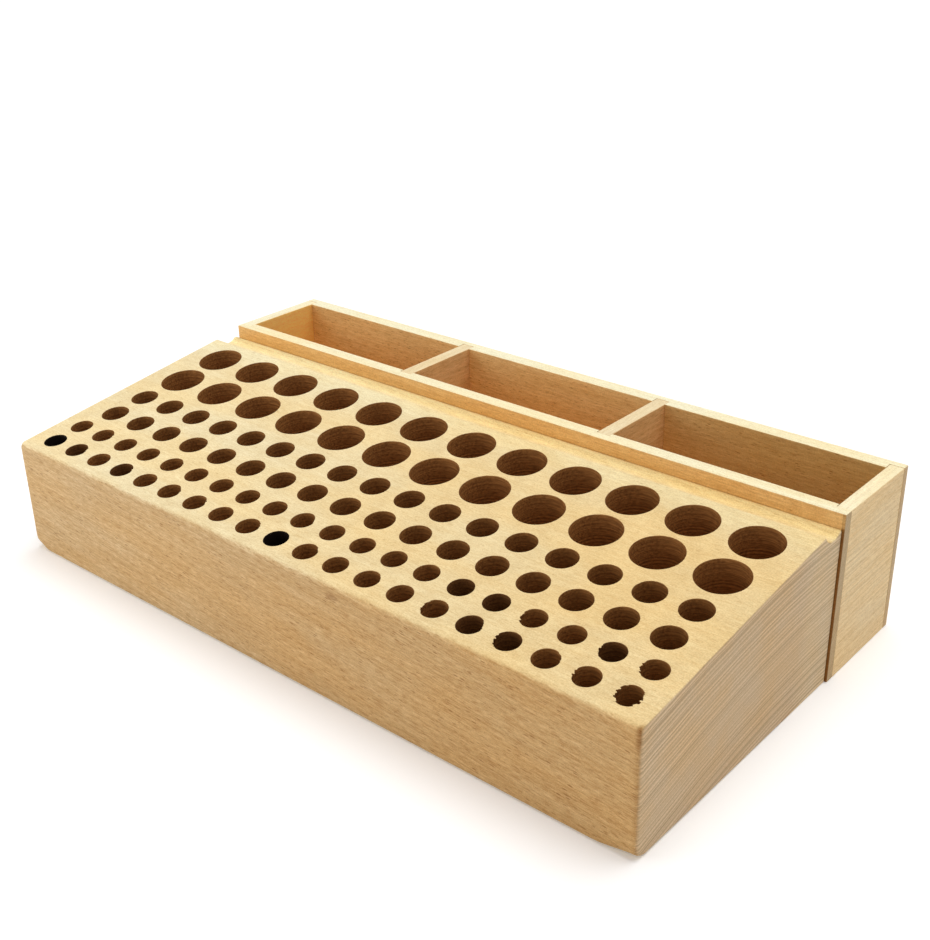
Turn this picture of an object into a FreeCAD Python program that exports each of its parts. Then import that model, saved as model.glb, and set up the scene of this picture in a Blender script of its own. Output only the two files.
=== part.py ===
import FreeCAD
import Part
import math
import os
from collections import namedtuple

# Wooden tool holder stand: a solid block with a sloping, drilled top, and a box with three bays
# behind it. Sizes are in millimetres. X runs along the length, Y from front to back, Z up.
# The pieces are laid out from the block's front left bottom corner. When they are written they
# are moved so that the origin is at the middle of the base.

Vector = FreeCAD.Vector

# Block
block_length = 280.0
front_height = 44.3
slope_angle = 7.64
front_edge_radius = 2.5
bottom_edge_radius = 1.6
end_edge_radius = 1.4
ridge_radius = 0.5

# Cove groove behind the slope, and the flat lip behind the groove
groove_radius = 6.0
groove_depth = 3.32
lip_rise = 1.5
lip_width = 1.1

# Holes: diameters, and the wood left between neighbours in a row
small_hole = 8.55
middle_hole = 10.55
large_hole = 17.4
small_web = 5.08
middle_web = 5.17
large_web = 5.06
floor_under_holes = 13.5
least_end_wood = 5.5

# Wood left in front of each row of holes, from the sharp front edge to the ridge
front_wood = 4.63
small_row_gap = 3.59
small_to_middle_gap = 3.87
middle_row_gap = 3.81
middle_to_large_gap = 3.54
large_row_gap = 2.51
ridge_wood = 3.7

# How far each size of hole sits to the right of the block's middle
small_shift = 0.5
middle_shift = 0.1
large_shift = 0.25

# Box behind the block
box_left_inset = 1.95
box_right_overhang = 0.85
wall_rise = 5.5
front_wall_thickness = 5.6
back_wall_thickness = 6.0
bay_depth = 32.9
end_thickness = 5.0
divider_thickness = 5.3
left_divider_shift = 0.15
right_divider_shift = 1.65
front_housing_depth = 2.0
back_housing_depth = 3.0
housing_clearance = 0.25
board_edge_chamfer = 0.5
chamfer_share_of_board = 0.25

# Bottom panel, held in grooves of the four walls
bottom_thickness = 4.0
bottom_rise = 4.0
bottom_groove_depth = 2.0
bottom_clearance = 0.25

# A cutter starts this far outside the wood
overrun = 5.0

# Places closer together than this are the same
same_place = 1e-4

Row = namedtuple("Row", "diameter web wood_in_front shift")
rows = (
    Row(small_hole, small_web, front_wood, small_shift),
    Row(small_hole, small_web, small_row_gap, small_shift),
    Row(middle_hole, middle_web, small_to_middle_gap, middle_shift),
    Row(middle_hole, middle_web, middle_row_gap, middle_shift),
    Row(large_hole, large_web, middle_to_large_gap, large_shift),
    Row(large_hole, large_web, large_row_gap, large_shift),
)

# Slope and groove, worked out from the rows of holes
slope = math.radians(slope_angle)
along_slope = Vector(0, math.cos(slope), math.sin(slope))
out_of_slope = Vector(0, -math.sin(slope), math.cos(slope))
front_edge = Vector(0, 0, front_height)
slope_length = sum(row.wood_in_front + row.diameter for row in rows) + ridge_wood
ridge = front_edge + along_slope * slope_length
groove_floor = ridge.z - groove_depth
groove_front_half = math.sqrt(groove_radius**2 - (groove_radius - groove_depth) ** 2)
groove_back_half = math.sqrt(groove_radius**2 - (groove_radius - lip_rise) ** 2)
groove_middle = ridge.y + groove_front_half
lip_start = groove_middle + groove_back_half
lip_height = groove_floor + lip_rise
block_depth = lip_start + lip_width

# Every hole has the same depth, set by the wood left under the front row
front_row_middle = front_edge + along_slope * (front_wood + small_hole / 2)
hole_depth = (front_row_middle.z - floor_under_holes) / math.cos(slope)

# Box, worked out from the block
box_start = box_left_inset
box_end = block_length + box_right_overhang
box_height = lip_height + wall_rise
front_wall_back = block_depth + front_wall_thickness
back_wall_front = front_wall_back + bay_depth
box_back = back_wall_front + back_wall_thickness
first_bay_start = box_start + end_thickness
last_bay_end = box_end - end_thickness
# three bays, with a divider between each two
bay_length = (last_bay_end - first_bay_start - 2 * divider_thickness) / 3
left_divider_start = first_bay_start + bay_length + left_divider_shift
right_divider_start = last_bay_end - bay_length - divider_thickness + right_divider_shift
bottom_top = bottom_rise + bottom_thickness


def box_between(low, high):
    """A plain box between its lowest and its highest corner."""
    size = high - low
    return Part.makeBox(size.x, size.y, size.z, low)


def eased_board(low, high):
    """A board with its edges eased by a small chamfer, which a thin board limits."""
    board = box_between(low, high)
    size = high - low
    thinnest = min(size.x, size.y, size.z)
    chamfer = min(board_edge_chamfer, thinnest * chamfer_share_of_board)
    return board.makeChamfer(chamfer, board.Edges)


def block_blank():
    """The block before drilling: its outline, with the slope and the groove, drawn along X."""
    corners = (
        Vector(0, 0, 0),
        Vector(0, block_depth, 0),
        Vector(0, block_depth, lip_height),
        Vector(0, lip_start, lip_height),
    )
    edges = [Part.makeLine(start, end) for start, end in zip(corners, corners[1:])]
    lowest = Vector(0, groove_middle, groove_floor)
    edges.append(Part.Arc(corners[-1], lowest, ridge).toShape())
    edges.append(Part.makeLine(ridge, front_edge))
    edges.append(Part.makeLine(front_edge, corners[0]))
    return Part.Face(Part.Wire(edges)).extrude(Vector(block_length, 0, 0))


def near(value, target):
    return abs(value - target) < same_place


def rounded(solid, radius, place):
    """The solid with a round on each edge whose two ends both pass the test of their place."""
    edges = [edge for edge in solid.Edges if all(place(end.Point) for end in edge.Vertexes)]
    return solid.makeFillet(radius, edges)


def rounded_block():
    """The block with its edges sanded round, apart from those that meet the box."""
    block = block_blank()
    block = rounded(block, front_edge_radius, lambda p: near(p.y, 0) and near(p.z, front_height))
    block = rounded(block, bottom_edge_radius, lambda p: near(p.y, 0) and near(p.z, 0))
    for end in (0, block_length):
        # from the ridge down over the front to the bottom edge, which the round then follows
        block = rounded(block, end_edge_radius, lambda p: near(p.x, end) and p.y < ridge.y + same_place)
    return rounded(block, ridge_radius, lambda p: near(p.y, ridge.y) and near(p.z, ridge.z))


def drills():
    """One cutter for each hole, square to the slope. Each row is spread about its own middle."""
    cutters = []
    row_start = 0
    for row in rows:
        pitch = row.diameter + row.web
        room = block_length - 2 * (least_end_wood + abs(row.shift)) - row.diameter
        gaps = math.floor(room / pitch)
        first = block_length / 2 + row.shift - gaps * pitch / 2
        middle = row_start + row.wood_in_front + row.diameter / 2
        floor = front_edge + along_slope * middle - out_of_slope * hole_depth
        for number in range(gaps + 1):
            start = floor + Vector(first + number * pitch, 0, 0)
            depth = hole_depth + overrun
            cutters.append(Part.makeCylinder(row.diameter / 2, depth, start, out_of_slope))
        row_start += row.wood_in_front + row.diameter
    return cutters


def drilled_block():
    return rounded_block().cut(drills())


def housings(inner_face, depth):
    """Cutters for the rebates and housings that the end boards and dividers sit in.

    A long wall's inner face is at inner_face. A negative depth cuts towards the front.
    """
    front, back = sorted((inner_face, inner_face + depth))
    spans = (
        (box_start - overrun, first_bay_start + housing_clearance, -overrun),
        (last_bay_end - housing_clearance, box_end + overrun, -overrun),
        divider_span(left_divider_start),
        divider_span(right_divider_start),
    )
    return [
        box_between(Vector(start, front, low), Vector(end, back, box_height + overrun))
        for start, end, low in spans
    ]


def divider_span(start):
    """Where a divider's housing starts and ends along X, and its foot."""
    end = start + divider_thickness + housing_clearance
    return start - housing_clearance, end, bottom_rise


def bottom_groove():
    """The cutter for the grooves that hold the bottom panel in all four walls."""
    reach = bottom_groove_depth
    low = Vector(first_bay_start - reach, front_wall_back - reach, bottom_rise)
    high = Vector(last_bay_end + reach, back_wall_front + reach, bottom_top + bottom_clearance)
    return box_between(low, high)


def box_front_wall():
    low = Vector(box_start, block_depth, 0)
    high = Vector(box_end, front_wall_back, box_height)
    return eased_board(low, high).cut(housings(front_wall_back, -front_housing_depth) + [bottom_groove()])


def box_back_wall():
    low = Vector(box_start, back_wall_front, 0)
    high = Vector(box_end, box_back, box_height)
    return eased_board(low, high).cut(housings(back_wall_front, back_housing_depth) + [bottom_groove()])


def cross_board(start, thickness, foot):
    """A short board that runs from housing to housing between the two long walls."""
    low = Vector(start, front_wall_back - front_housing_depth, foot)
    high = Vector(start + thickness, back_wall_front + back_housing_depth, box_height)
    return eased_board(low, high)


def box_left_end():
    return cross_board(box_start, end_thickness, 0).cut(bottom_groove())


def box_right_end():
    return cross_board(last_bay_end, end_thickness, 0).cut(bottom_groove())


def box_left_divider():
    return cross_board(left_divider_start, divider_thickness, bottom_top)


def box_right_divider():
    return cross_board(right_divider_start, divider_thickness, bottom_top)


def box_bottom():
    """The panel lies on the lower side of its grooves and is free at its edges."""
    reach = bottom_groove_depth - bottom_clearance
    low = Vector(first_bay_start - reach, front_wall_back - reach, bottom_rise)
    high = Vector(last_bay_end + reach, back_wall_front + reach, bottom_top)
    return box_between(low, high)


pieces = {
    "drilled_block": drilled_block,
    "box_front_wall": box_front_wall,
    "box_back_wall": box_back_wall,
    "box_left_end": box_left_end,
    "box_right_end": box_right_end,
    "box_left_divider": box_left_divider,
    "box_right_divider": box_right_divider,
    "box_bottom": box_bottom,
}

left = min(0, box_start)
right = max(block_length, box_end)
to_origin = Vector(-(left + right) / 2, -box_back / 2, 0)

os.makedirs("parts", exist_ok=True)
for name, make in pieces.items():
    shape = make()
    shape.translate(to_origin)
    shape.exportStep(f"parts/{name}.step")
    print(name, len(shape.Solids), "solids", round(shape.Volume), "mm3", shape.isValid())
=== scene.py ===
import math
import random

import bmesh
import bpy
from mathutils import Matrix, Vector


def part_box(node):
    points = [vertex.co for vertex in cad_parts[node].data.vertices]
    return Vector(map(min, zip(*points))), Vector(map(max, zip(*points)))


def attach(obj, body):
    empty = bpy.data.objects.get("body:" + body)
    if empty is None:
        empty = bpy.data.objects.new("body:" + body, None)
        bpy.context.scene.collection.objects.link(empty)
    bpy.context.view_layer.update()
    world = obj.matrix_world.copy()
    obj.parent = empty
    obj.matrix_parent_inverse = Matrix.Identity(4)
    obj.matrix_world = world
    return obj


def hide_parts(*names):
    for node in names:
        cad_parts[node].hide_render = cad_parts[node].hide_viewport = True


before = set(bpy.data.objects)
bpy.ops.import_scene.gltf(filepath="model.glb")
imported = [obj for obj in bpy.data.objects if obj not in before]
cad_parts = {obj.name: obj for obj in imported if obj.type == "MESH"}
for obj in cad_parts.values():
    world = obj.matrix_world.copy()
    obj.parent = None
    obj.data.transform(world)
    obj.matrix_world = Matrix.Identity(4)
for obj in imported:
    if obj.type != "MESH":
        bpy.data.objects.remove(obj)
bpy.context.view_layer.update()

# A tool holder stand of bare beech: a drilled block with a sloping top and a box with three bays.
# Sizes are in millimetres, and those down to the rows of holes repeat the model's own. Each piece is
# laid out from the block's front left bottom corner, and goes to its place from the frame.

MM = 0.001
block_low, block_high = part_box("drilled_block")
corner = block_low / MM
block_length = (block_high.x - block_low.x) / MM
block_depth = (block_high.y - block_low.y) / MM

front_height = 44.3
slope = math.radians(7.64)
front_edge_radius = 2.5
bottom_edge_radius = 1.6
end_edge_radius = 1.4
ridge_radius = 0.5
groove_radius = 6.0
groove_depth = 3.32
lip_rise = 1.5
ridge_wood = 3.7
floor_under_holes = 13.5
least_end_wood = 5.5

# Rows of holes from the front: name, diameter, wood between neighbours, wood in front, shift right
rows = (
    ("small_front", 8.55, 5.08, 4.63, 0.5),
    ("small_back", 8.55, 5.08, 3.59, 0.5),
    ("middle_front", 10.55, 5.17, 3.87, 0.1),
    ("middle_back", 10.55, 5.17, 3.81, 0.1),
    ("large_front", 17.4, 5.06, 3.54, 0.25),
    ("large_back", 17.4, 5.06, 2.51, 0.25),
)

# Torn rims: row, number from the left, direction of the tear in degrees from +X, its half width in
# degrees, and how long its notches and splinters can get
tears = (
    ("small_front", 2, 50, 50, 0.9),
    ("small_front", 4, 60, 50, 0.9),
    ("small_front", 6, 50, 45, 0.8),
    ("small_front", 7, 50, 45, 0.9),
    ("small_front", 9, 60, 45, 0.8),
    ("small_front", 11, 70, 45, 1.0),
    ("small_front", 13, 60, 40, 0.6),
    ("small_front", 15, 190, 50, 0.8),
    ("small_front", 16, 40, 45, 0.9),
    ("small_front", 17, 218, 55, 1.1),
    ("small_front", 18, 60, 50, 0.8),
    ("small_front", 19, 215, 60, 0.9),
    ("small_front", 20, 180, 300, 1.2),
    ("small_back", 2, 50, 50, 0.9),
    ("small_back", 5, 60, 45, 0.8),
    ("small_back", 10, 50, 45, 0.8),
    ("small_back", 14, 60, 45, 0.6),
    ("small_back", 17, 205, 60, 1.1),
    ("small_back", 19, 212, 50, 1.2),
    ("small_back", 20, 210, 55, 0.9),
)
scorched_holes = (("small_front", 1), ("small_front", 10))
browned_holes = (("small_front", 2), ("small_front", 4), ("small_front", 16), ("small_front", 17),
                 ("small_back", 15), ("small_back", 16), ("small_back", 19))

# The wood of each kind of hole comes after the block's own in its list of materials
hole_kinds = ("small", "middle", "large", "browned", "scorched")

# Rims, the mark of the drill's spur on the floors, and the boards
rim_ease = 0.14
splinter_pitch = 1.1
splinter_chance = 0.45
tear_depth = 2.0
spur_radius = 1.2
spur_depth = 1.0
board_round = 0.35
joint_gap = 0.05
smooth_up_to = 40

# The front has the full round at the block's ends, and its other edges only this share of it
slight = 0.35

# The two lower front corners are sanded rounder: the round under the front grows towards each end
corner_radius = 5.2
left_corner_reach = 8.0
right_corner_reach = 15.0

along_slope = Vector((0, math.cos(slope), math.sin(slope)))
out_of_slope = Vector((0, -math.sin(slope), math.cos(slope)))
front_edge = Vector((0, 0, front_height))
slope_length = ridge_wood + sum(diameter + wood for _, diameter, _, wood, _ in rows)
ridge = front_edge + along_slope * slope_length
groove_floor = ridge.z - groove_depth
groove_middle = ridge.y + math.sqrt(groove_radius**2 - (groove_radius - groove_depth) ** 2)
lip_start = groove_middle + math.sqrt(groove_radius**2 - (groove_radius - lip_rise) ** 2)
lip_height = groove_floor + lip_rise
first_row_height = front_edge.z + math.sin(slope) * (rows[0][3] + rows[0][1] / 2)
hole_depth = (first_row_height - floor_under_holes) / math.cos(slope)


def to_object(name, bm):
    """A mesh laid out in millimetres from the block's corner, as an object in the frame."""
    place = Matrix.Translation(corner * MM) @ Matrix.Scale(MM, 4)
    bm.transform(place)
    bmesh.ops.recalc_face_normals(bm, faces=bm.faces)
    mesh = bpy.data.meshes.new(name)
    bm.to_mesh(mesh)
    bm.free()
    made = bpy.data.objects.new(name, mesh)
    bpy.context.scene.collection.objects.link(made)
    return made


def smooth(piece):
    """Smooth shading up to an angle, with flat faces kept flat next to their rounds."""
    piece.data.shade_smooth()
    piece.data.set_sharp_from_angle(angle=math.radians(smooth_up_to))
    weights = piece.modifiers.new("weights", "WEIGHTED_NORMAL")
    weights.keep_sharp = True


def fade(share):
    """From 1 at 0, smoothly down to 0 at 1 and beyond."""
    share = min(max(share, 0), 1)
    return (1 - share) ** 2 * (1 + 2 * share)


# Block


def left_of(direction):
    return Vector((-direction.y, direction.x))


def turned(vector, angle):
    cosine, sine = math.cos(angle), math.sin(angle)
    return Vector((vector.x * cosine - vector.y * sine, vector.x * sine + vector.y * cosine))


def round_corner(point, arriving, leaving, radius, steps, start_share, end_share):
    """A round on a corner of the outline: points with their inward direction and share of the end round."""
    turn = arriving.angle(leaving)
    start = point - arriving * radius * math.tan(turn / 2)
    out = left_of(arriving)
    centre = start - out * radius
    points = []
    for step in range(steps + 1):
        normal = turned(out, -turn * step / steps)
        share = start_share + (end_share - start_share) * step / steps
        points.append((centre + normal * radius, -normal, share))
    return points


def lower_round(x):
    """The round under the front at that place along the block."""
    forwards, up = Vector((-1, 0)), Vector((0, 1))
    return round_corner(Vector((0, 0)), forwards, up, bottom_radius(x), steps=7, start_share=1, end_share=1)


def block_outline(x):
    """The block's outline in the YZ plane, clockwise from its lower back corner.

    Each point comes with the direction in which the end round moves it, and its share of that round.
    """
    up = Vector((0, 1))
    uphill = Vector((math.cos(slope), math.sin(slope)))
    front_top = Vector((0, front_height))
    ridge_point = Vector((ridge.y, ridge.z))
    groove_centre = Vector((groove_middle, groove_floor + groove_radius))
    downhill = left_of((ridge_point - groove_centre).normalized())
    outline = [(Vector((block_depth, 0)), Vector((-1, 1)), slight)]
    outline += lower_round(x)
    outline += round_corner(front_top, up, uphill, front_edge_radius, steps=7, start_share=1,
                            end_share=slight)
    outline += round_corner(ridge_point, uphill, downhill, ridge_radius, steps=4, start_share=slight,
                            end_share=slight)
    ridge_trim = ridge_radius * math.tan(uphill.angle(downhill) / 2) / groove_radius
    start = (ridge_point - groove_centre).normalized()
    end = (Vector((lip_start, lip_height)) - groove_centre).normalized()
    sweep = start.angle(end)
    steps = 14
    for step in range(1, steps + 1):
        out = turned(start, ridge_trim + (sweep - ridge_trim) * step / steps)
        outline.append((groove_centre + out * groove_radius, out, slight))
    outline.append((Vector((block_depth, lip_height)), Vector((-1, -1)), slight))
    return outline


def bottom_radius(x):
    """The radius of the round under the front, which grows towards the ends."""
    growth = fade(x / left_corner_reach) + fade((block_length - x) / right_corner_reach)
    return bottom_edge_radius + (corner_radius - bottom_edge_radius) * growth


def round_sections():
    """Distance from the end and inset of each section through the round at an end."""
    steps = 5
    for step in range(steps + 1):
        angle = math.pi / 2 * step / steps
        yield end_edge_radius * (1 - math.cos(angle)), end_edge_radius * (1 - math.sin(angle))


def corner_sections():
    """Places along X where the growing round under the front needs a section of its own."""
    steps = 7
    shares = [step / steps for step in range(1, steps + 1)]
    left = [end_edge_radius + (left_corner_reach - end_edge_radius) * share for share in shares]
    right = [end_edge_radius + (right_corner_reach - end_edge_radius) * share for share in shares]
    return left + [block_length - x for x in reversed(right)]


def hole_places():
    """Row name, number, diameter and the middle of the mouth of each hole."""
    row_start = 0
    for name, diameter, web, wood_in_front, shift in rows:
        pitch = diameter + web
        room = block_length - 2 * (least_end_wood + abs(shift)) - diameter
        gaps = math.floor(room / pitch)
        first = block_length / 2 + shift - gaps * pitch / 2
        middle = row_start + wood_in_front + diameter / 2
        for number in range(gaps + 1):
            mouth = front_edge + along_slope * middle
            yield name, number + 1, diameter, mouth + Vector((first + number * pitch, 0, 0))
        row_start += wood_in_front + diameter


def splinters(name, number, radius, chance):
    """How far the rim is torn at each direction, in the grain's direction.

    Positive is a splinter that stands into the hole, and negative a notch behind it. The fibres
    lie side by side across the grain, so each has its own place and length.
    """
    found = [tear for tear in tears if tear[:2] == (name, number)]
    if found:
        _, _, towards, half_width, size = found[0]
    else:
        towards = chance.uniform(0, 180)
        half_width = chance.uniform(20, 50)
        size = chance.uniform(0.05, 0.2)
    facing = math.radians(towards)
    reach = math.radians(half_width)
    fibres = math.ceil(4 * radius / splinter_pitch) + 2
    lengths = {}
    for side in (-1, 1):
        for index in range(-fibres, fibres + 1):
            notch = -size * chance.uniform(0.3, 1) ** 2
            splinter = size * chance.uniform(0, 0.7)
            lengths[side, index] = splinter if chance.random() < splinter_chance else notch

    def amount(angle):
        off = abs((angle - facing + math.pi) % (2 * math.pi) - math.pi)
        if off >= reach:
            return 0.0
        side = -1 if math.cos(angle) < 0 else 1
        place = 2 * radius * math.sin(angle) / splinter_pitch
        index = math.floor(place)
        blend = min(1, (place - index) * 3)
        length = lengths[side, index - 1] * (1 - blend) + lengths[side, index] * blend
        return length * math.sqrt(math.cos(off / reach * math.pi / 2) * abs(math.cos(angle)))

    return amount


def add_hole(bm, name, number, diameter, mouth):
    """The eased rim, the wall and the floor of a hole. It returns the edges of its outermost ring."""
    chance = random.Random(f"{name} {number}")
    radius = diameter / 2
    small = name.startswith("small")
    segments = 144 if small else 80
    skirt = 1.7 if small else 1.15
    kind = name.split("_")[0]
    if (name, number) in browned_holes:
        kind = "browned"
    if (name, number) in scorched_holes:
        kind = "scorched"
    wall = 1 + hole_kinds.index(kind)
    amount = splinters(name, number, radius, chance)
    tear = [amount(2 * math.pi * k / segments) for k in range(segments)]
    wobble = [chance.uniform(-0.02, 0.02) for _ in range(segments)]

    def ring(offset, depth, tearing):
        """One ring: its radius is offset from the hole's, and tearing is the share of the tear."""
        verts = []
        for k in range(segments):
            angle = 2 * math.pi * k / segments
            away = Vector((math.cos(angle), 0, 0)) + along_slope * math.sin(angle)
            point = mouth + away * (radius + offset + wobble[k] * tearing) - out_of_slope * depth
            point.x -= math.copysign(tear[k], math.cos(angle)) * tearing
            verts.append(bm.verts.new(point))
        return verts

    def strip(upper, lower, material):
        for k in range(segments):
            after = (k + 1) % segments
            face = bm.faces.new((upper[k], upper[after], lower[after], lower[k]))
            face.material_index = material

    plane_ring = ring(skirt, 0, 0)
    rings = [plane_ring]
    for degrees in (0, 35, 65, 90):
        angle = math.radians(degrees)
        rings.append(ring(rim_ease * (1 - math.sin(angle)), rim_ease * (1 - math.cos(angle)), 1))
    outer_strips = len(rings) - 2
    for share, tearing in ((0.25, 0.85), (0.5, 0.5), (0.75, 0.2), (1.0, 0.0)):
        rings.append(ring(0, rim_ease + share * tear_depth, tearing))
    for index, (upper, lower) in enumerate(zip(rings, rings[1:])):
        strip(upper, lower, 0 if index < outer_strips else wall)
    floor_ring = ring(0, hole_depth, 0)
    strip(rings[-1], floor_ring, wall)
    spur_ring = ring(spur_radius - radius, hole_depth, 0)
    strip(floor_ring, spur_ring, wall)
    tip = bm.verts.new(mouth - out_of_slope * (hole_depth + spur_depth))
    for k in range(segments):
        face = bm.faces.new((spur_ring[k], spur_ring[(k + 1) % segments], tip))
        face.material_index = wall
    return [bm.edges.get((plane_ring[k], plane_ring[(k + 1) % segments])) for k in range(segments)]


def make_block():
    """The block's skin as sections along X, with its slope filled in round the rims of the holes."""
    bm = bmesh.new()
    insets = list(round_sections())
    sections = [(0, away, inset) for away, inset in insets]
    sections += [(block_length, -away, inset) for away, inset in reversed(insets)]
    grid = []
    for end, away, inset in sections:
        outline = block_outline(end + away)
        grid.append([bm.verts.new((end + away * share, *(point + inwards * inset * share)))
                     for point, inwards, share in outline])
    count = len(outline)
    longest = max(range(1, count - 1), key=lambda k: (outline[k + 1][0] - outline[k][0]).length
                  if outline[k][0].y > front_height / 2 else 0)
    middle = len(insets) - 1
    here, there = grid[middle], grid[middle + 1]
    low = slice(1, 1 + len(lower_round(0)))
    lofts = [[bm.verts.new((x, *point)) for point, _, _ in lower_round(x)] for x in corner_sections()]
    lofts = [here[low], *lofts, there[low]]
    for near_row, far_row in zip(lofts, lofts[1:]):
        for j in range(len(near_row) - 1):
            bm.faces.new((near_row[j], near_row[j + 1], far_row[j + 1], far_row[j]))
    bm.faces.new([here[0], *(row[0] for row in lofts), there[0]])
    bm.faces.new([here[low.stop], *(row[-1] for row in lofts), there[low.stop]])
    for k, (this, after) in enumerate(zip(grid, grid[1:])):
        for j in range(count):
            done = j < low.stop or j == longest
            if k != middle or not done:
                bm.faces.new((this[j], this[(j + 1) % count], after[(j + 1) % count], after[j]))
    bm.faces.new(grid[0])
    bm.faces.new(list(reversed(grid[-1])))
    around = (here[longest], here[longest + 1], there[longest + 1], there[longest])
    border = [bm.edges.get((around[k - 1], around[k])) for k in range(4)]
    for name, number, diameter, mouth in hole_places():
        border += add_hole(bm, name, number, diameter, mouth)
    bmesh.ops.triangle_fill(bm, edges=border, use_beauty=True, normal=out_of_slope)
    block = to_object("drilled_block_skin", bm)
    smooth(block)
    return block


# Boards


def box_mesh(bm, low, high):
    """A plain box between two corners, as a start for a board or a cutter."""
    made = bmesh.ops.create_cube(bm, size=1)
    size = high - low
    middle = (low + high) / 2
    for vert in made["verts"]:
        vert.co = Vector(a * b for a, b in zip(vert.co, size)) + middle


def in_block_frame(node):
    low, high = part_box(node)
    return low / MM - corner, high / MM - corner


def make_board(node, grow_by_neighbour):
    """A board with eased edges, housed for its neighbours.

    Each neighbour's box, grown by the gap along the given axes, is cut out of it.
    """
    bm = bmesh.new()
    low, high = in_block_frame(node)
    box_mesh(bm, low, high)
    bmesh.ops.bevel(bm, geom=bm.edges[:], offset=board_round, segments=4, profile=0.5, affect="EDGES")
    board = to_object(node + "_board", bm)
    for neighbour, grow in grow_by_neighbour.items():
        cutter_mesh = bmesh.new()
        neighbour_low, neighbour_high = in_block_frame(neighbour)
        more = Vector(grow) * joint_gap
        box_mesh(cutter_mesh, neighbour_low - more, neighbour_high + more)
        cutter = to_object("cutter", cutter_mesh)
        cut = board.modifiers.new("housing", "BOOLEAN")
        cut.operation = "DIFFERENCE"
        cut.solver = "EXACT"
        cut.object = cutter
        settled = board.evaluated_get(bpy.context.evaluated_depsgraph_get())
        board.data = bpy.data.meshes.new_from_object(settled)
        board.modifiers.clear()
        bpy.data.objects.remove(cutter)
    smooth(board)
    return board


# Nodes that the materials share


def srgb(red, green, blue):
    """A colour given as it looks on screen, from 0 to 255, as the linear value that nodes take."""
    return [((v / 255 + 0.055) / 1.055) ** 2.4 if v > 10 else v / 255 / 12.92 for v in (red, green, blue)]


def node(tree, kind, inputs, **settings):
    """A node with its settings, and with inputs given as values or as other nodes' outputs."""
    made = tree.nodes.new(kind)
    for name, value in settings.items():
        setattr(made, name, value)
    for socket, value in inputs.items():
        if isinstance(value, bpy.types.NodeSocket):
            tree.links.new(value, made.inputs[socket])
        else:
            made.inputs[socket].default_value = value
    return made


def maths(tree, operation, *values):
    return node(tree, "ShaderNodeMath", dict(enumerate(values)), operation=operation).outputs[0]


def vector_maths(tree, operation, *values):
    return node(tree, "ShaderNodeVectorMath", dict(enumerate(values)), operation=operation).outputs[0]


def dot(tree, first, second):
    made = node(tree, "ShaderNodeVectorMath", {0: first, 1: second}, operation="DOT_PRODUCT")
    return made.outputs["Value"]


def length(tree, vector):
    return node(tree, "ShaderNodeVectorMath", {0: vector}, operation="LENGTH").outputs["Value"]


def split(tree, vector):
    return node(tree, "ShaderNodeSeparateXYZ", {0: vector}).outputs


def product(tree, *values):
    """All the values multiplied together."""
    total = values[0]
    for value in values[1:]:
        total = maths(tree, "MULTIPLY", total, value)
    return total


def step(tree, value, low, high, to_low=0.0, to_high=1.0):
    """A smooth step from to_low to to_high, as value goes from low to high."""
    settings = {"Value": value, "From Min": low, "From Max": high, "To Min": to_low, "To Max": to_high}
    return node(tree, "ShaderNodeMapRange", settings, interpolation_type="SMOOTHSTEP").outputs["Result"]


def between(tree, low, high, share):
    """The vector that goes from low to high with the share."""
    change = tuple(b - a for a, b in zip(low, high))
    return vector_maths(tree, "MULTIPLY_ADD", share, change, low)


def tinted(tree, colour, low_tint, high_tint, share):
    """The colour times a tint that goes from one to the other with the share."""
    return vector_maths(tree, "MULTIPLY", colour, between(tree, low_tint, high_tint, share))


def marked(tree, colour, tint, share):
    return tinted(tree, colour, (1, 1, 1), tint, share)


def squeezed(tree, place, along, across):
    """Places measured in features that are that long and wide, in millimetres, with X the grain."""
    scale = (1 / along, 1 / across, 1 / across)
    return vector_maths(tree, "MULTIPLY", place, scale)


def noise(tree, place, along, across, detail=2.0, roughness=0.5):
    settings = {"Vector": squeezed(tree, place, along, across), "Scale": 1.0,
                "Detail": detail, "Roughness": roughness}
    return node(tree, "ShaderNodeTexNoise", settings).outputs["Fac"]


def line_noise(tree, distance, pitch, detail=1.0):
    """Noise along one direction only, so that it makes lines."""
    settings = {"W": distance, "Scale": 1 / pitch, "Detail": detail}
    return node(tree, "ShaderNodeTexNoise", settings, noise_dimensions="1D").outputs["Fac"]


def dashes(tree, place, along, across, filled):
    """Short dark spindles along the grain, one at most in each cell of that length and width.

    filled is the share of the cells that have one.
    """
    settings = {"Vector": squeezed(tree, place, along, across), "Scale": 1.0, "Randomness": 1.0}
    cells = node(tree, "ShaderNodeTexVoronoi", settings).outputs
    for_choice, for_size, for_strength = split(tree, cells["Color"])
    least_size, most_size = 0.16, 0.34
    size = step(tree, for_size, 0.0, 1.0, least_size, most_size)
    near_middle = maths(tree, "SUBTRACT", 1.0, maths(tree, "DIVIDE", cells["Distance"], size))
    dark = step(tree, near_middle, 0.0, 0.6)
    empty = 1 - filled
    chosen = step(tree, for_choice, empty, empty - 0.05)
    least_strength = 0.45
    return product(tree, dark, chosen, step(tree, for_strength, 0.0, 1.0, least_strength, 1.0))


def home_place(tree):
    """The place in millimetres from the block's front left bottom corner."""
    raw = node(tree, "ShaderNodeTexCoord", {}).outputs["Object"]
    shift = tuple(-corner)
    return vector_maths(tree, "MULTIPLY_ADD", raw, (1 / MM,) * 3, shift)


def surface_normal(tree):
    return node(tree, "ShaderNodeNewGeometry", {}).outputs["Normal"]


def facing_shares(tree, normal):
    """How much a face is square to X, Y and Z: three shares that add up to one."""
    squares = vector_maths(tree, "MULTIPLY", normal, normal)
    fourths = vector_maths(tree, "MULTIPLY", squares, squares)
    return vector_maths(tree, "DIVIDE", fourths, dot(tree, fourths, (1, 1, 1)))


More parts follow.
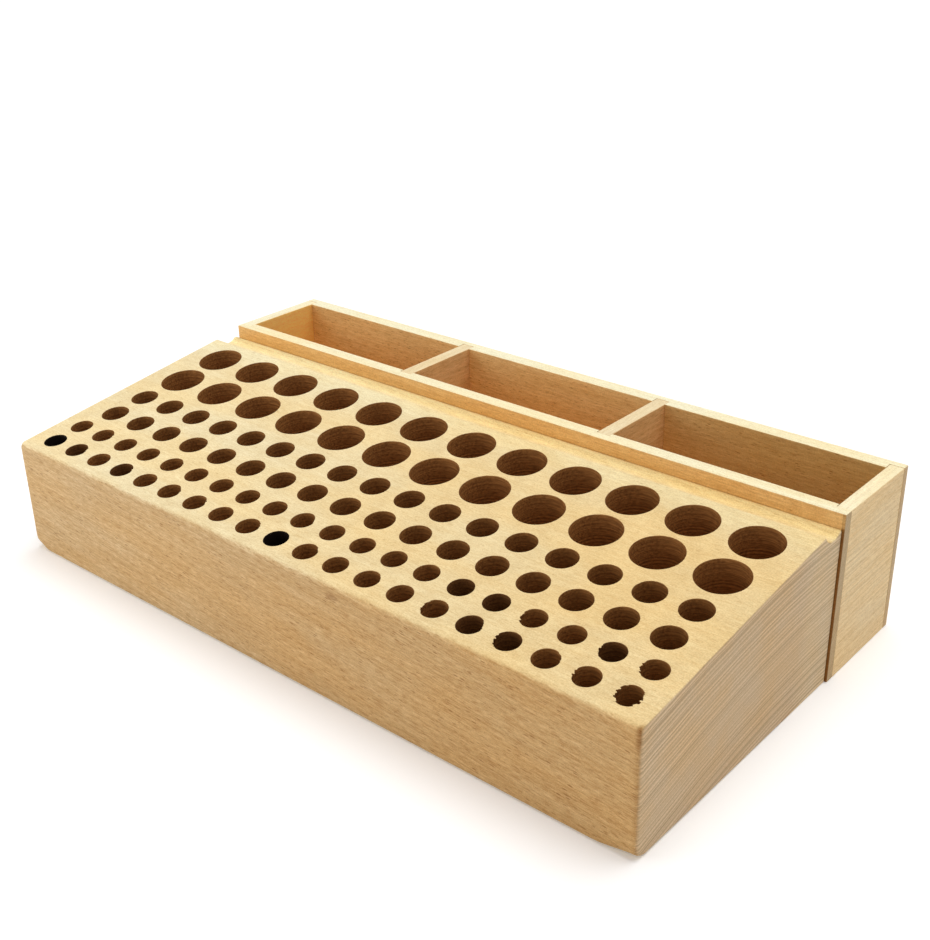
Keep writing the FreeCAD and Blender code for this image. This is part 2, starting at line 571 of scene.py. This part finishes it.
def facing_tones_and_painted_light(tree, facing, tones):
    """A colour of its own on faces square to X, Y and Z: partly the wood's own, as on the end grain, and
    partly painted light, paler on top and darker and warmer on the sides.
    """
    colour = (0, 0, 0)
    for tone, share in zip(tones, split(tree, facing)):
        colour = vector_maths(tree, "MULTIPLY_ADD", share, tuple(srgb(*tone)), colour)
    return colour


def new_material(name):
    material = bpy.data.materials.new(name)
    material.use_nodes = True
    material.node_tree.nodes.clear()
    return material, material.node_tree


def bare_surface(tree, colour, height, roughness):
    """Bare wood: the shader, with a fine bump."""
    relief = 0.12 * MM
    bump = node(tree, "ShaderNodeBump", {"Height": height, "Strength": 0.5, "Distance": relief}).outputs[0]
    surface = node(tree, "ShaderNodeBsdfPrincipled", {"Base Color": colour, "Roughness": roughness,
                                                      "Specular IOR Level": 0.3, "Normal": bump})
    output = tree.nodes.new("ShaderNodeOutputMaterial")
    tree.links.new(surface.outputs[0], output.inputs[0])


# Wood


def growth_rings(tree, place, centre, width):
    """Pale and dark lines of the growth rings, about 0.5, from the distance to the tree's heart.

    Each ring is a wave, whose phase a noise along the distance makes uneven.
    """
    sway = 2.5
    slow = noise(tree, place, 160, 45, 2.0)
    flat = vector_maths(tree, "MULTIPLY", place, (0, 1, 1))
    from_heart = length(tree, vector_maths(tree, "SUBTRACT", flat, (0, *centre)))
    distance = maths(tree, "MULTIPLY_ADD", slow, sway, from_heart)
    wide = line_noise(tree, distance, width * 0.6, 1.0)
    fine = line_noise(tree, distance, width * 0.22, 0.0)
    unevenness = 9.0
    waves = 2 * math.pi / (width * 0.58)
    phase = maths(tree, "MULTIPLY_ADD", distance, waves, product(tree, wide, unevenness))
    even = maths(tree, "MULTIPLY_ADD", maths(tree, "SINE", phase), 0.28, 0.5)
    even_share, wide_share, fine_share = 0.4, 0.25, 0.35
    noisy = maths(tree, "ADD", product(tree, wide, wide_share), product(tree, fine, fine_share))
    return maths(tree, "ADD", product(tree, even, even_share), noisy)


def wood(name, tones, turn=(0, 0, 0), offset=(0, 0, 0), heart=(112, -420), ring_width=2.4, ring_low=0.45,
         dash_shares=(0.0, 1.0, 0.4), ring_shares=(0.6, 0.2, 0.15), fibre_shares=(0.5, 1.0, 0.55),
         flecks=0.05, marks=None):
    """Bare beech: growth rings round a far heart, long fibres and short dark spindles.

    tones and the three shares are for faces square to X, Y and Z; the tones are partly the wood's own
    and partly painted light, paler on top and darker and warmer on the sides. turn lays the grain
    along the texture's X. ring_low is how clear the rings still are where they fade, flecks is the share
    of cells with a strong spindle, and marks adds what only this piece has to its colour, painted light
    and shade among it.
    """
    material, tree = new_material(name)
    home = home_place(tree)
    normal = surface_normal(tree)
    facing = facing_shares(tree, normal)
    place = node(tree, "ShaderNodeMapping", {"Vector": home, "Rotation": turn, "Location": offset}).outputs[0]
    # tones by facing, partly painted light: paler tops, darker and warmer sides
    colour = facing_tones_and_painted_light(tree, facing, tones)
    dash_share = dot(tree, facing, dash_shares)
    ring_share = dot(tree, facing, ring_shares)
    fibre_share = dot(tree, facing, fibre_shares)
    band_share = product(tree, fibre_share, 0.7)

    def centred(value, low, high, share):
        """The value as a smooth step round 0.5, with only that share of its swing."""
        swing = maths(tree, "SUBTRACT", step(tree, value, low, high), 0.5)
        return maths(tree, "MULTIPLY_ADD", swing, share, 0.5)

    # broad warm and grey patches, then bands along the grain, then single fibres
    patch = noise(tree, place, 55, 20, 2.0)
    colour = tinted(tree, colour, (1.02, 0.97, 0.90), (0.99, 1.01, 1.08), step(tree, patch, 0.3, 0.7))
    band = noise(tree, place, 34, 1.9, 3.0, 0.6)
    bands = centred(band, 0.25, 0.75, band_share)
    colour = tinted(tree, colour, (0.91, 0.86, 0.78), (1.07, 1.10, 1.16), bands)
    fibre = noise(tree, place, 3.8, 0.46, 2.0, 0.6)
    fibres = centred(fibre, 0.2, 0.8, fibre_share)
    colour = tinted(tree, colour, (0.89, 0.83, 0.75), (1.10, 1.16, 1.22), fibres)

    # growth rings, strong on the end grain
    rings = growth_rings(tree, place, heart, ring_width)
    ring_fade = step(tree, noise(tree, place, 60, 26, 1.0), 0.3, 0.7, ring_low, 1.0)
    lines = centred(rings, 0.2, 0.8, product(tree, ring_share, ring_fade))
    colour = tinted(tree, colour, (0.74, 0.70, 0.64), (1.26, 1.30, 1.36), lines)

    # spindles in two sizes, in loose clouds
    cloud = step(tree, noise(tree, place, 38, 11, 2.0), 0.32, 0.62, 0.5, 1.0)
    strong = product(tree, dashes(tree, place, 3.7, 0.75, filled=flecks), cloud, dash_share)
    colour = marked(tree, colour, (0.56, 0.41, 0.24), strong)
    faint = product(tree, dashes(tree, place, 2.8, 0.6, filled=0.18), dash_share)
    colour = marked(tree, colour, (0.76, 0.68, 0.58), faint)

    # pores: a fine even grit
    grit = node(tree, "ShaderNodeTexNoise", {"Vector": home, "Scale": 2.1, "Detail": 1.0}).outputs["Fac"]
    colour = tinted(tree, colour, (0.93, 0.92, 0.90), (1.07, 1.08, 1.10), step(tree, grit, 0.3, 0.7))
    if marks:
        colour = marks(tree, colour, home, normal)

    height = maths(tree, "ADD", fibre, product(tree, grit, 0.5))
    height = maths(tree, "SUBTRACT", height, product(tree, strong, 0.6))
    bare_surface(tree, colour, height, step(tree, fibre, 0.25, 0.75, 0.66, 0.52))
    return material


def bored_wood(name, diameter, shade):
    """The walls of a size of hole: cut across the grain, ringed by the bit, with a slight painted shade
    further down.
    """
    material, tree = new_material(name)
    home = home_place(tree)
    facing = facing_shares(tree, surface_normal(tree))
    surface_level = front_edge.dot(out_of_slope)
    depth = maths(tree, "SUBTRACT", surface_level, dot(tree, home, tuple(out_of_slope)))
    rim_colour = tuple(srgb(148, 103, 56))
    deep_colour = tuple(srgb(150, 102, 54))
    # a slight painted shade further down the hole
    colour = between(tree, rim_colour, deep_colour, step(tree, depth, -0.1 * diameter, 0.65 * diameter))
    across_grain, _, _ = split(tree, facing)
    cut = line_noise(tree, depth, 0.65, 2.0)
    colour = tinted(tree, colour, (0.74, 0.68, 0.60), (1.30, 1.36, 1.42), step(tree, cut, 0.25, 0.75))
    grain = noise(tree, home, 7, 0.7, 3.0, 0.6)
    colour = tinted(tree, colour, (0.72, 0.66, 0.58), (1.32, 1.36, 1.42), step(tree, grain, 0.25, 0.75))
    grit = node(tree, "ShaderNodeTexNoise", {"Vector": home, "Scale": 1.6, "Detail": 2.0}).outputs["Fac"]
    rough_share = product(tree, step(tree, grit, 0.45, 0.7), across_grain)
    colour = marked(tree, colour, (0.70, 0.62, 0.52), rough_share)
    colour = vector_maths(tree, "MULTIPLY", colour, shade)
    height = maths(tree, "MULTIPLY_ADD", cut, 1.4, product(tree, grit, 0.8))
    bare_surface(tree, colour, height, step(tree, grain, 0.25, 0.75, 0.72, 0.6))
    return material


def block_marks_and_painted_light(tree, colour, home, normal):
    """Painted light: a paler left end, a darker, warmer right end, a paler ridge, a shaded front and lit back
    half of the groove; a dark line along the seam, a burnished corner, a knot.
    """
    x, y, z = split(tree, home)
    along_x, _, along_z = split(tree, normal)
    # painted light: paler and bluer at the left end, darker and warmer towards the right
    colour = tinted(tree, colour, (1.01, 1.06, 1.18), (0.96, 0.91, 0.84), step(tree, x, 0, block_length))

    # painted light: paler wood by the ridge, painted shade on a browner front half of the groove and painted
    # light on a paler back half
    painted_light_by_ridge = step(tree, y, ridge.y - 14, ridge.y - 3)
    colour = marked(tree, colour, (1.05, 1.10, 1.14), painted_light_by_ridge)
    facing_up = step(tree, along_z, 0.0, 0.3)
    in_groove = product(tree, step(tree, y, ridge.y, ridge.y + 0.5), facing_up)
    # painted shade on the groove's front half, painted light on its back half
    painted_shade_front_half = product(tree, in_groove, step(tree, y, groove_middle, groove_middle - 3))
    colour = marked(tree, colour, (0.92, 0.86, 0.73), painted_shade_front_half)
    painted_light_back_half = product(tree, in_groove, step(tree, y, groove_middle, groove_middle + 2))
    colour = marked(tree, colour, (1.12, 1.12, 1.0), painted_light_back_half)

    # a dark line along the seam, strong on the sides and faint on top
    by_seam = step(tree, y, block_depth - 0.4, block_depth - 0.15)
    on_side = step(tree, along_z, 0.8, 0.3, 0.2, 0.8)
    colour = marked(tree, colour, (0.40, 0.27, 0.10), product(tree, by_seam, on_side))

    # the upright edge at the front right, burnished towards its top
    from_edge = vector_maths(tree, "SUBTRACT", home, (block_length, 0, 0))
    distance = length(tree, vector_maths(tree, "MULTIPLY", from_edge, (1, 1, 0)))
    towards_top = step(tree, z, 36, 43, 0.3, 1.0)
    not_on_end = step(tree, along_x, 0.95, 0.6)
    uneven = step(tree, noise(tree, home, 2.5, 2.5), 0.3, 0.55, 0.3, 1.0)
    burnish = product(tree, step(tree, distance, 2.4, 0.9), not_on_end, towards_top, uneven)
    colour = marked(tree, colour, (0.50, 0.36, 0.20), burnish)

    # a small ragged knot in the front face
    knot_middle = (167.5, 0, 40.6)
    knot_half_length, knot_half_depth, knot_half_height = 4.6, 5.0, 1.9
    knot_strength = 0.6
    from_knot = vector_maths(tree, "SUBTRACT", home, knot_middle)
    shrink = (1 / knot_half_length, 1 / knot_half_depth, 1 / knot_half_height)
    off = length(tree, vector_maths(tree, "MULTIPLY", from_knot, shrink))
    ragged = maths(tree, "MULTIPLY_ADD", noise(tree, home, 2.4, 1.0, 2.0), 1.3, off)
    knot = product(tree, step(tree, ragged, 1.55, 0.75), knot_strength)
    return marked(tree, colour, (0.50, 0.36, 0.22), knot)


def front_wall_marks(tree, colour, home, _):
    """The dark line where the front wall stands against the block."""
    x, y, z = split(tree, home)
    against_block = step(tree, y, block_depth + 0.25, block_depth + 0.05)
    below_lip = step(tree, z, lip_height + 1.0, lip_height, 0.4, 1.0)
    past_end = product(tree, step(tree, x, block_length - 0.4, block_length - 0.2), below_lip)
    by_lip = step(tree, z, lip_height + 0.45, lip_height + 0.1, 0.0, 0.3)
    share = product(tree, against_block, maths(tree, "MAXIMUM", past_end, by_lip))
    return marked(tree, colour, (0.32, 0.21, 0.09), share)


def back_wall_painted_shade(tree, colour, home, normal):
    """Painted shade: a darker, browner inner face in the right bay."""
    x, _, _ = split(tree, home)
    _, along_y, _ = split(tree, normal)
    inner = step(tree, along_y, -0.6, -0.9)
    to_right = step(tree, x, 150, 250)
    return marked(tree, colour, (0.70, 0.70, 0.64), product(tree, inner, to_right))


def end_board_marks(tree, colour, home, normal):
    """A warmer inner face on the left end board."""
    x, _, _ = split(tree, home)
    along_x, _, _ = split(tree, normal)
    inner = step(tree, along_x, 0.6, 0.9)
    on_left = step(tree, x, 80, 40)
    return marked(tree, colour, (1.25, 1.1, 0.62), product(tree, inner, on_left))


grain_along_y = (0, 0, -math.pi / 2)
fibre_dip = (0, math.radians(-4.8), 0)

# The tones by facing below are partly painted light: paler tops, darker and warmer sides.
block_wood = wood("block_wood", ((214, 188, 150), (211, 172, 115), (241, 217, 162)), turn=fibre_dip,
                  ring_width=2.6, ring_low=0.8, ring_shares=(1.1, 0.2, 0.15),
                  fibre_shares=(0.3, 1.6, 0.6), marks=block_marks_and_painted_light)
small_hole, middle_hole, large_hole = rows[0][1], rows[2][1], rows[4][1]
# The three sizes' multipliers are painted light, lightest in the widest holes; the browned and scorched walls
# are the wood's own.
hole_woods = (
    bored_wood("bored_small", small_hole, (1.1, 1.04, 0.94)),
    bored_wood("bored_middle", middle_hole, (1.06, 1.0, 0.9)),
    bored_wood("bored_large", large_hole, (1.25, 1.18, 1.08)),
    bored_wood("browned_wood", small_hole, (0.6, 0.52, 0.44)),
    bored_wood("scorched_wood", small_hole, (0.035, 0.03, 0.04)),
)
front_wall_wood = wood("front_wall_wood", ((193, 165, 122), (233, 186, 116), (255, 243, 200)),
                       offset=(400, 60, 30), heart=(300, -60), flecks=0.35, marks=front_wall_marks)
# The back wall's tones are lighter than the front wall's: painted light on the bays' inner back face.
back_wall_painted_lighter = wood("back_wall_painted_lighter", ((204, 174, 130), (246, 202, 130), (255, 245, 204)),
                      offset=(1300, 60, 30), heart=(300, -60), marks=back_wall_painted_shade)
end_board_wood = wood("end_board_wood", ((240, 211, 160), (222, 188, 140), (255, 243, 202)),
                      turn=grain_along_y, offset=(150, 340, 90), heart=(-40, 250), ring_width=2.7,
                      dash_shares=(0.35, 0.0, 0.2), ring_shares=(0.35, 0.6, 0.15),
                      fibre_shares=(0.6, 0.6, 0.5), marks=end_board_marks)
divider_wood = wood("divider_wood", ((236, 192, 130), (216, 180, 132), (244, 222, 176)),
                    turn=grain_along_y, offset=(700, 240, 170), heart=(60, 300),
                    dash_shares=(0.6, 0.0, 0.2), ring_shares=(0.2, 0.6, 0.2), fibre_shares=(1.0, 0.6, 0.6))
panel_wood = wood("panel_wood", ((216, 180, 132), (216, 180, 132), (226, 184, 124)),
                  offset=(900, 440, 250), heart=(60, -300), ring_width=3.1)


# Pieces

block = make_block()
for material in (block_wood, *hole_woods):
    block.data.materials.append(material)
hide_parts("drilled_block")
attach(block, "root")

across_and_up = (1, 0, 1)
level = (1, 1, 0)
cross_boards = ("box_left_end", "box_right_end", "box_left_divider", "box_right_divider")
long_board_cuts = {name: across_and_up for name in cross_boards} | {"box_bottom": level}
boards = (
    ("box_front_wall", long_board_cuts, front_wall_wood, "board_wood"),
    ("box_back_wall", long_board_cuts, back_wall_painted_lighter, "board_wood"),
    ("box_left_end", {"box_bottom": level}, end_board_wood, "board_wood"),
    ("box_right_end", {"box_bottom": level}, end_board_wood, "board_wood"),
    ("box_left_divider", {}, divider_wood, "board_wood"),
    ("box_right_divider", {}, divider_wood, "board_wood"),
    ("box_bottom", {}, panel_wood, "panel_wood"),
)
for node_name, cuts, material, slot_name in boards:
    board = make_board(node_name, cuts)
    board.data.materials.clear()
    board.data.materials.append(material)
    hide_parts(node_name)
    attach(board, "root")


# Floor, light and camera


def make_floor():
    """A wide white floor. The camera sees it lighter than it lights the object."""
    half = 12.0
    lighting_share = 0.9
    lift_to_white = 0.12
    corners = [(-half, -half, 0), (half, -half, 0), (half, half, 0), (-half, half, 0)]
    mesh = bpy.data.meshes.new("floor")
    mesh.from_pydata(corners, [], [(0, 1, 2, 3)])
    made = bpy.data.objects.new("floor", mesh)
    bpy.context.scene.collection.objects.link(made)
    material = bpy.data.materials.new("floor_white")
    material.use_nodes = True
    tree = material.node_tree
    surface = tree.nodes["Principled BSDF"]
    seen = node(tree, "ShaderNodeLightPath", {}).outputs["Is Camera Ray"]
    levels = {"Value": seen, "To Min": lighting_share, "To Max": 1.0}
    tree.links.new(node(tree, "ShaderNodeMapRange", levels).outputs[0], surface.inputs["Base Color"])
    surface.inputs["Emission Color"].default_value = (1, 1, 1, 1)
    tree.links.new(product(tree, seen, lift_to_white), surface.inputs["Emission Strength"])
    surface.inputs["Roughness"].default_value = 1.0
    surface.inputs["Specular IOR Level"].default_value = 0.0
    mesh.materials.append(material)


def make_sun(name, strength, spread, direction):
    """A wide soft lamp, far away, that shines along the direction."""
    lamp = bpy.data.lights.new(name, "SUN")
    lamp.energy = strength
    lamp.angle = math.radians(spread)
    made = bpy.data.objects.new(name, lamp)
    made.rotation_euler = Vector(direction).to_track_quat("-Z", "Y").to_euler()
    bpy.context.scene.collection.objects.link(made)


def make_panel(name, power, size, place, target):
    """A square soft box that shines at the target."""
    lamp = bpy.data.lights.new(name, "AREA")
    lamp.energy = power
    lamp.size = size
    made = bpy.data.objects.new(name, lamp)
    made.location = place
    aim = Vector(target) - Vector(place)
    made.rotation_euler = aim.to_track_quat("-Z", "Y").to_euler()
    bpy.context.scene.collection.objects.link(made)


def make_world(strength):
    """An even white world. It lights the object with its strength, and the camera sees it as white."""
    world = bpy.data.worlds.new("world")
    bpy.context.scene.world = world
    world.use_nodes = True
    tree = world.node_tree
    ground = tree.nodes["Background"]
    seen = node(tree, "ShaderNodeLightPath", {}).outputs["Is Camera Ray"]
    levels = {"Value": seen, "To Min": strength, "To Max": 1.0}
    ground.inputs["Color"].default_value = (1, 1, 1, 1)
    tree.links.new(node(tree, "ShaderNodeMapRange", levels).outputs[0], ground.inputs["Strength"])


def make_camera():
    """The photograph's own view, in the frame's metres."""
    place = (0.285365, -0.310282, 0.250230)
    turn, look_down, roll = 40.989, 25.863, -1.202
    data = bpy.data.cameras.new("camera")
    data.sensor_width = 36.0
    data.lens = 50.762
    made = bpy.data.objects.new("camera", data)
    rotation = Matrix.Identity(4)
    for degrees, axis in ((turn, "Z"), (90 - look_down, "X"), (roll, "Z")):
        rotation = rotation @ Matrix.Rotation(math.radians(degrees), 4, axis)
    made.matrix_world = Matrix.Translation(place) @ rotation
    bpy.context.scene.collection.objects.link(made)
    bpy.context.scene.camera = made


make_floor()
make_world(strength=0.45)
make_sun("key", strength=1.7, spread=45, direction=(-0.1, -0.2, -1))
make_panel("fill", power=1.2, size=0.4, place=(-0.42, -0.55, 0.22), target=(-0.12, -0.07, 0.03))
make_camera()
bpy.context.scene.view_settings.view_transform = "Standard"
